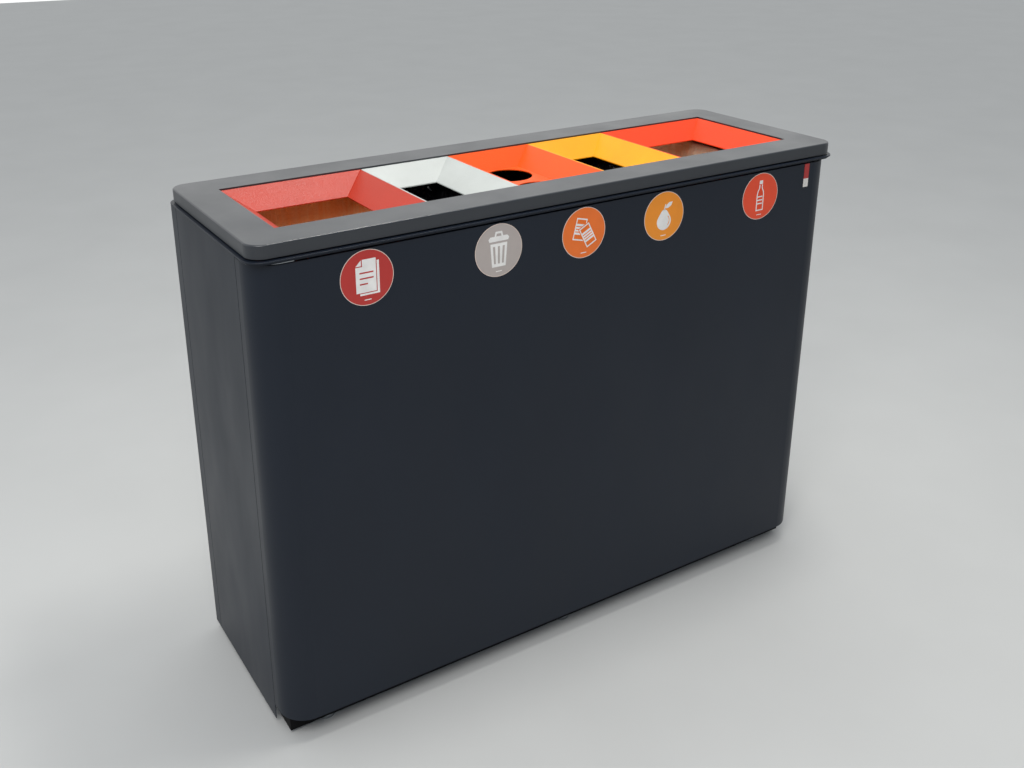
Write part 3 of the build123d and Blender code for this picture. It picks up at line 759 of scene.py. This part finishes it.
@dataclass
class Disc:
    """One round disc with its generic pictogram."""

    stream: Stream
    colour: str
    ink_layer: float = 0.10
    over_layer: float = 0.16
    top_layer: float = 0.22

    def build(self) -> None:
        """Dress the disc and print its pictogram in white ink, with the disc's colour laid over."""
        node = f"sticker_{self.stream.value}"
        low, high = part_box(node)
        middle = Vector(((low.x + high.x) / 2, low.y, (low.z + high.z) / 2))
        print_film = DiscVinyl(f"printed vinyl, {self.stream.value}", self.colour, 0.38, centre=tuple(middle))
        dress(print_film.material(), node)
        ink = MouldedPart(f"white ink, {self.stream.value}", "#e9e7e4", 0.45, grain_strength=0.1)
        over = MouldedPart(f"disc ink, {self.stream.value}", self.colour, 0.40, grain_strength=0.1)
        pens = Pen(middle), Pen(middle), Pen(middle)
        getattr(self, f"draw_{self.stream.value}")(*pens)
        self.caption(pens[0])
        pens[0].finish(f"print_{self.stream.value}_white", ink.material())
        if pens[1].mesh.verts:
            pens[1].finish(f"print_{self.stream.value}_over", over.material(), INK_SLOTS[self.stream])
        if pens[2].mesh.verts:
            pens[2].finish(f"print_{self.stream.value}_top", ink.material())

    def caption(self, white: Pen) -> None:
        """A plain short rule where a caption would stand."""
        white.bar(-6.5, -40.5, 13.0, 1.5, self.ink_layer)

    def draw_paper(self, white: Pen, over: Pen, top: Pen) -> None:
        """Two sheets, the front one with a folded corner and three lines."""
        back = [(-14, -31), (23, -31), (23, 28), (-14, 28)]
        front = [(-21, -26), (17, -26), (17, 33), (-10, 33), (-21, 22)]
        white.fill(back, self.ink_layer)
        over.fill([(-22.6, -27.6), (18.6, -27.6), (18.6, 34.6), (-10.6, 34.6), (-22.6, 22.6)], self.over_layer)
        top.fill(front, self.top_layer)
        mark = self.top_layer + 0.06
        over.fill([(-21.4, 20.4), (-8.6, 20.4), (-8.6, 33.4), (-10.4, 33.4), (-10.4, 22.2), (-21.4, 22.2)], mark)
        for up, width in ((8.0, 26.0), (-2.0, 26.0), (-12.0, 15.0)):
            over.bar(-14, up, width, 2.6, mark)

    def draw_residual(self, white: Pen, over: Pen, top: Pen) -> None:
        """A bin with a handled lid and a ribbed body."""
        white.fill([(-20, 17.5), (20, 17.5), (22, 22.5), (18, 27), (-18, 27), (-22, 22.5)], self.ink_layer)
        white.fill([(-9, 27), (-5.6, 27), (-4.4, 32), (4.4, 32), (5.6, 27), (9, 27), (7, 36), (-7, 36)],
                   self.ink_layer)
        white.fill([(-18, 13.5), (18, 13.5), (14.5, -31), (-14.5, -31)], self.ink_layer)
        for lower, upper in ((-8.4, -10.4), (0.0, 0.0), (8.4, 10.4)):
            over.fill([(lower - 2.0, -25), (lower + 2.0, -25), (upper + 2.3, 8), (upper - 2.3, 8)], self.over_layer)

    def label(self, white: Pen, over: Pen, top: Pen, tilt: float, about: tuple[float, float], lift: float) -> None:
        """One tilted, banded label.

        Args:
            white: the lowest white pen.
            over: the pen in the disc's colour.
            top: the upper white pen.
            tilt: its turn in degrees.
            about: its middle.
            lift: how much higher its layers lie.
        """
        for pen in (white, over, top):
            pen.tilt, pen.about = tilt, about
        over.bar(-14.4, -23.4, 28.8, 46.8, self.ink_layer * 0.8 + lift)
        white.bar(-12.6, -21.6, 25.2, 43.2, self.ink_layer + lift)
        for up, tall in ((10.5, 8.5), (-1.2, 2.0), (4.2, 2.0), (-6.4, 2.0), (-19.0, 8.5)):
            over.bar(-10.4, up, 20.8, tall, self.over_layer + lift)

    def draw_cups(self, white: Pen, over: Pen, top: Pen) -> None:
        """Two overlapping tilted labels with bands."""
        self.label(white, over, top, -14.0, (-9.5, 8.0), 0.0)
        self.label(white, over, top, 27.0, (9.0, -6.0), 0.12)
        white.tilt, white.about = 0.0, (0.0, 0.0)

    def draw_organic(self, white: Pen, over: Pen, top: Pen) -> None:
        """A whole pear with its stalk and a leaf."""
        def pear(turn: float) -> float:
            """The pear's reach at an angle."""
            return 17.5 - 3.2 * math.sin(turn) + 7.5 * max(0.0, math.sin(turn)) ** 6

        def shine(turn: float) -> float:
            """The reach of the curved highlight."""
            return 12.4 - 2.2 * math.sin(turn)

        white.blob(0.0, -8.0, pear, self.ink_layer)
        white.fill([(-1.2, 12), (1.2, 12), (3.6, 24), (1.4, 24.6)], self.ink_layer)
        white.fill([(2.0, 16), (9, 15.5), (17, 20), (20, 27.5), (12, 27), (5.5, 22.5)], self.ink_layer)
        inner = [(shine(turn) * math.cos(turn), shine(turn) * math.sin(turn) - 8.0)
                 for turn in [math.radians(angle) for angle in range(-50, 46, 8)]]
        outer = [(right * 1.13, (up + 8.0) * 1.13 - 8.0) for right, up in reversed(inner)]
        over.fill(inner + outer, self.over_layer)

    def draw_plastic(self, white: Pen, over: Pen, top: Pen) -> None:
        """A bottle in outline with a cap and three bands."""
        def bottle(grow: float) -> list[tuple[float, float]]:
            """The bottle's outline, grown by a distance."""
            half = [(9.0 + grow, -30 - grow), (9.0 + grow, 4), (7.8 + grow, 10), (3.6 + grow, 18), (3.6 + grow, 25)]
            return half + [(-right, up) for right, up in reversed(half)]

        white.fill(bottle(1.2), self.ink_layer)
        over.fill(bottle(-1.4), self.over_layer)
        white.bar(-4.6, 26.4, 9.2, 7.6, self.ink_layer)
        for up in (-2.0, -9.5, -17.0):
            top.bar(-8.2, up, 14.2, 2.6, self.top_layer)


# ---- stage ---------------------------------------------------------------------------------------
@dataclass
class Stage:
    """Camera, floor, sky and soft lamps."""

    spot: tuple[float, float, float] = (-1.1836, -1.7701, 1.5433)
    forward: tuple[float, float, float] = (0.489158, 0.798264, -0.351424)
    upward: tuple[float, float, float] = (0.188523, 0.296626, 0.936201)
    lens_mm: float = 38.03
    shift: tuple[float, float] = (0.0279, -0.1007)
    floor_reach: float = 14.0

    def camera(self) -> None:
        """Place the camera and make it the scene's."""
        data = bpy.data.cameras.new("camera")
        data.lens, data.sensor_width = self.lens_mm, 36.0
        data.shift_x, data.shift_y = self.shift
        data.clip_end = 60.0
        camera = bpy.data.objects.new("camera", data)
        back, up = -Vector(self.forward).normalized(), Vector(self.upward)
        right = up.cross(back).normalized()
        up = back.cross(right)
        turn = Matrix((right, up, back)).transposed()
        camera.matrix_world = Matrix.Translation(self.spot) @ turn.to_4x4()
        bpy.context.scene.collection.objects.link(camera)
        bpy.context.scene.camera = camera

    def lamp(self, name: str, place: tuple[float, float, float], aim: tuple[float, float, float],
             size: tuple[float, float], watts: float, colour: str) -> None:
        """Hang one soft rectangular lamp.

        Args:
            name: its name.
            place: where it hangs.
            aim: what it looks at.
            size: its length and width.
            watts: its power.
            colour: its sRGB colour.
        """
        data = bpy.data.lights.new(name, "AREA")
        data.shape = "RECTANGLE"
        data.size, data.size_y = size
        data.energy = watts
        data.color = linear(colour)[:3]
        lamp = bpy.data.objects.new(name, data)
        way = Vector(aim) - Vector(place)
        lamp.matrix_world = Matrix.Translation(place) @ way.to_track_quat("-Z", "Y").to_matrix().to_4x4()
        bpy.context.scene.collection.objects.link(lamp)

    def sky(self) -> None:
        """A pale surround, brighter behind the station than in front of it."""
        world = bpy.data.worlds.new("surround")
        world.use_nodes = True
        tree = world.node_tree
        tree.nodes.clear()
        way = add_node(tree, "TexCoord").outputs["Generated"]
        toward = add_node(tree, "VectorMath", {"operation": "DOT_PRODUCT", 1: (0.3, 0.95, 0.05)}, {0: way})
        share = add_node(tree, "MapRange", {"From Min": -0.7, "From Max": 0.85}, {"Value": toward.outputs["Value"]})
        colour = ramp(tree, share.outputs["Result"], [(0.0, linear("#7c838d")), (1.0, linear("#f6f7f6"))])
        light = add_node(tree, "Background", {"Strength": 1.15}, {"Color": colour})
        add_node(tree, "OutputWorld", links={"Surface": light.outputs["Background"]})
        bpy.context.scene.world = world

    def floor(self) -> None:
        """A plain pale floor."""
        mesh = bmesh.new()
        bmesh.ops.create_circle(mesh, cap_ends=True, segments=96, radius=self.floor_reach)
        floor = keep_mesh("floor", mesh, StageFloor("pale screed", "#c2c3c2", 0.85).material(), False)

    def build(self) -> None:
        """Set the whole stage."""
        self.camera()
        self.sky()
        self.floor()
        self.lamp("ceiling strip", (0.42, -0.2, 3.3), (0.1, 0.0, 0.5), (0.9, 0.3), 34.0, "#fffdf8")
        self.lamp("front key", (-1.9, -2.2, 3.4), (-0.1, 0.0, 0.8), (1.8, 1.8), 80.0, "#fffdfa")
        self.lamp("left fill", (-3.4, 0.6, 2.0), (-0.4, 0.0, 0.6), (1.6, 2.2), 8.0, "#eef4ff")
        bpy.context.scene.view_settings.view_transform = "Standard"


def main() -> None:
    """Build the stage, dress the frame and add the soft and printed pieces."""
    logging.basicConfig(level=logging.INFO, format="%(message)s")
    Stage().build()
    Cabinet().dress()
    Door().dress()
    Lid().dress()
    for stream, colour in ((Stream.PAPER, "#b4261f"), (Stream.RESIDUAL, "#b0a6a1"), (Stream.CUPS, "#ec6f14"),
                           (Stream.ORGANIC, "#ee8e08"), (Stream.PLASTIC, "#e5420f")):
        Disc(stream, colour).build()
    # The paper liner's colour and its dark streak colour are set near white in red: painted glow of light through
    # the film, over the film's own orange-brown tint.
    clear = LinerFilm("PE film, orange-brown tint with painted glow", "#ffd09c", 0.3, dark="#ffb476")
    black = LinerFilm("PE film, black", "#2a2a2e", 0.10, dark="#0a0a0c", crease_strength=0.9)
    smoke = LinerFilm("PE film, dark", "#2a211b", 0.16, dark="#0c0908", crease_strength=0.9)
    # The clear liner's warm pale colour is a painted reflection of the orange chute and a painted glow of light
    # through the film; the real film is clear.
    bare = LinerFilm("PE film, clear, painted reflection and glow", "#ffead4", 0.2, dark="#ffd0a6")
    for bag in (LinerBag(Stream.PAPER, clear, 2.0, 5.0, 1.0), LinerBag(Stream.RESIDUAL, black, 8.0, 9.0, 2.0),
                LinerBag(Stream.CUPS, smoke, 8.0, 8.0, 3.0), LinerBag(Stream.ORGANIC, black, 8.0, 9.0, 4.0),
                LinerBag(Stream.PLASTIC, bare, 6.0, 3.0, 5.0)):
        bag.build()


if __name__ == "__main__":
    main()
